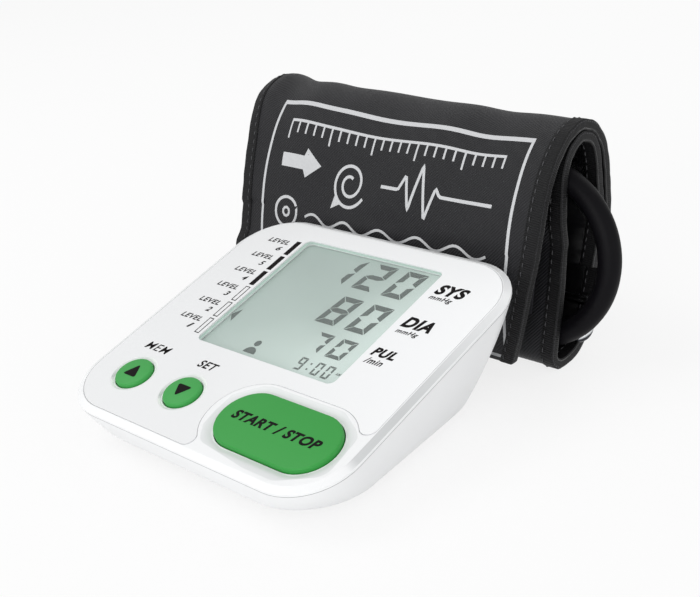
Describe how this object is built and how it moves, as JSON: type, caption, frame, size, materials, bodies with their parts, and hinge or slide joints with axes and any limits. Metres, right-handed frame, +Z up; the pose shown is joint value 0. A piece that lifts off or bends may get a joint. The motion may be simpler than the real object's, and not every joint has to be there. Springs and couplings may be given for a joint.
{
  "type": "upper-arm blood pressure monitor with rolled cuff",
  "caption": "Sloped white desk unit with a display and green buttons, for reading blood pressure, beside a rolled dark arm cuff holding its air hose and metal ring.",
  "frame": {"origin": "on the table, below the middle of the box round the desk unit and the rolled cuff without its hose", "axes": "+X to the right as the user reads the display, +Y to the rear, where the cuff stands, +Z up"},
  "size_m": [0.1593, 0.1574, 0.0839],
  "materials": {
    "white_plastic": "fine satin",
    "panel_film": "matt printed film",
    "clear_lens": "clear",
    "display_grey": "grey-green display",
    "green_plastic": "semi-gloss",
    "board_green": "solder mask",
    "black_plastic": "moulded",
    "pale_plastic": "moulded",
    "soft_tube": "clear silicone",
    "pink_rubber": "conductive strip",
    "dark_rubber": "satin",
    "foam": "open foam",
    "steel": "bright plated",
    "spring_steel": "plain",
    "copper_winding": "wound",
    "cell_jacket": "printed jacket, plain",
    "cuff_fabric": "fine twill",
    "cuff_nylon": "shiny nylon",
    "tape_fabric": "ribbed tape",
    "hook_loop": "hook and loop",
    "bladder_film": "film",
    "grey_plastic": "moulded",
    "red_wire": "insulated"
  },
  "bodies": {
    "case": {"top_shell": "white_plastic", "face_panel": "panel_film", "display_lens": "clear_lens", "display_glass": "display_grey", "display_holder": "pale_plastic", "contact_strips": "pink_rubber", "main_board": "board_green", "controller_chip": "black_plastic", "key_switches": "black_plastic", "pump_motor": "spring_steel", "pump_head": "pale_plastic", "pump_foam": "foam", "valve_body": "black_plastic", "pressure_sensor": "black_plastic", "air_manifold": "pale_plastic", "air_tubes": "soft_tube", "air_socket": "black_plastic", "power_socket": "black_plastic", "buzzer": "black_plastic", "bottom_shell": "white_plastic", "battery_cells": "cell_jacket", "spring_contacts": "spring_steel", "plate_contacts": "spring_steel", "lead_wires": "red_wire", "case_screws": "steel", "board_screws": "steel", "rubber_feet": "dark_rubber"},
    "mem_key": {"mem_button": "green_plastic"},
    "set_key": {"set_button": "green_plastic"},
    "start_key": {"start_button": "green_plastic"},
    "rotor": {"pump_rotor": "copper_winding"},
    "plunger": {"valve_plunger": "spring_steel"},
    "door": {"battery_door": "white_plastic"},
    "cuff": {"cuff_cover": "cuff_fabric", "cuff_lining": "cuff_nylon", "air_bladder": "bladder_film", "edge_binding": "tape_fabric", "hook_patch": "hook_loop", "loop_patch": "hook_loop", "ring_strap": "tape_fabric", "hose_port": "black_plastic", "air_hose": "dark_rubber", "air_plug": "grey_plastic", "plug_seal": "dark_rubber"},
    "ring": {"metal_ring": "steel"}
  },
  "joints": [
    {"name": "mem_press", "type": "slide", "parent": "case", "child": "mem_key", "axis": [0, 0.2588, -0.9659], "range_m": [0, 0.0008], "stiffness_N_per_m": 400, "springref_m": -0.001},
    {"name": "set_press", "type": "slide", "parent": "case", "child": "set_key", "axis": [0, 0.2588, -0.9659], "range_m": [0, 0.0008], "stiffness_N_per_m": 400, "springref_m": -0.001},
    {"name": "start_press", "type": "slide", "parent": "case", "child": "start_key", "axis": [0, 0.2588, -0.9659], "range_m": [0, 0.0008], "stiffness_N_per_m": 600, "springref_m": -0.001},
    {"name": "pump_turn", "type": "hinge", "parent": "case", "child": "rotor", "pos_m": [-0.0218, -0.00243, 0.0116], "axis": [1, 0, 0], "continuous": true},
    {"name": "valve_press", "type": "slide", "parent": "case", "child": "plunger", "axis": [0, 1, 0], "range_m": [0, 0.0008], "stiffness_N_per_m": 300, "springref_m": -0.001},
    {"name": "door_slide", "type": "slide", "parent": "case", "child": "door", "axis": [0, 1, 0], "range_m": [0, 0.01]},
    {"name": "cuff_lift", "type": "slide", "parent": "case", "child": "cuff", "axis": [0, 0, 1], "range_m": [0, 0.12]},
    {"name": "ring_swing", "type": "hinge", "parent": "cuff", "child": "ring", "pos_m": [0.0072, 0.06107, 0.0188], "axis": [1, 0, 0], "range_deg": [-5, 0]}
  ]
}
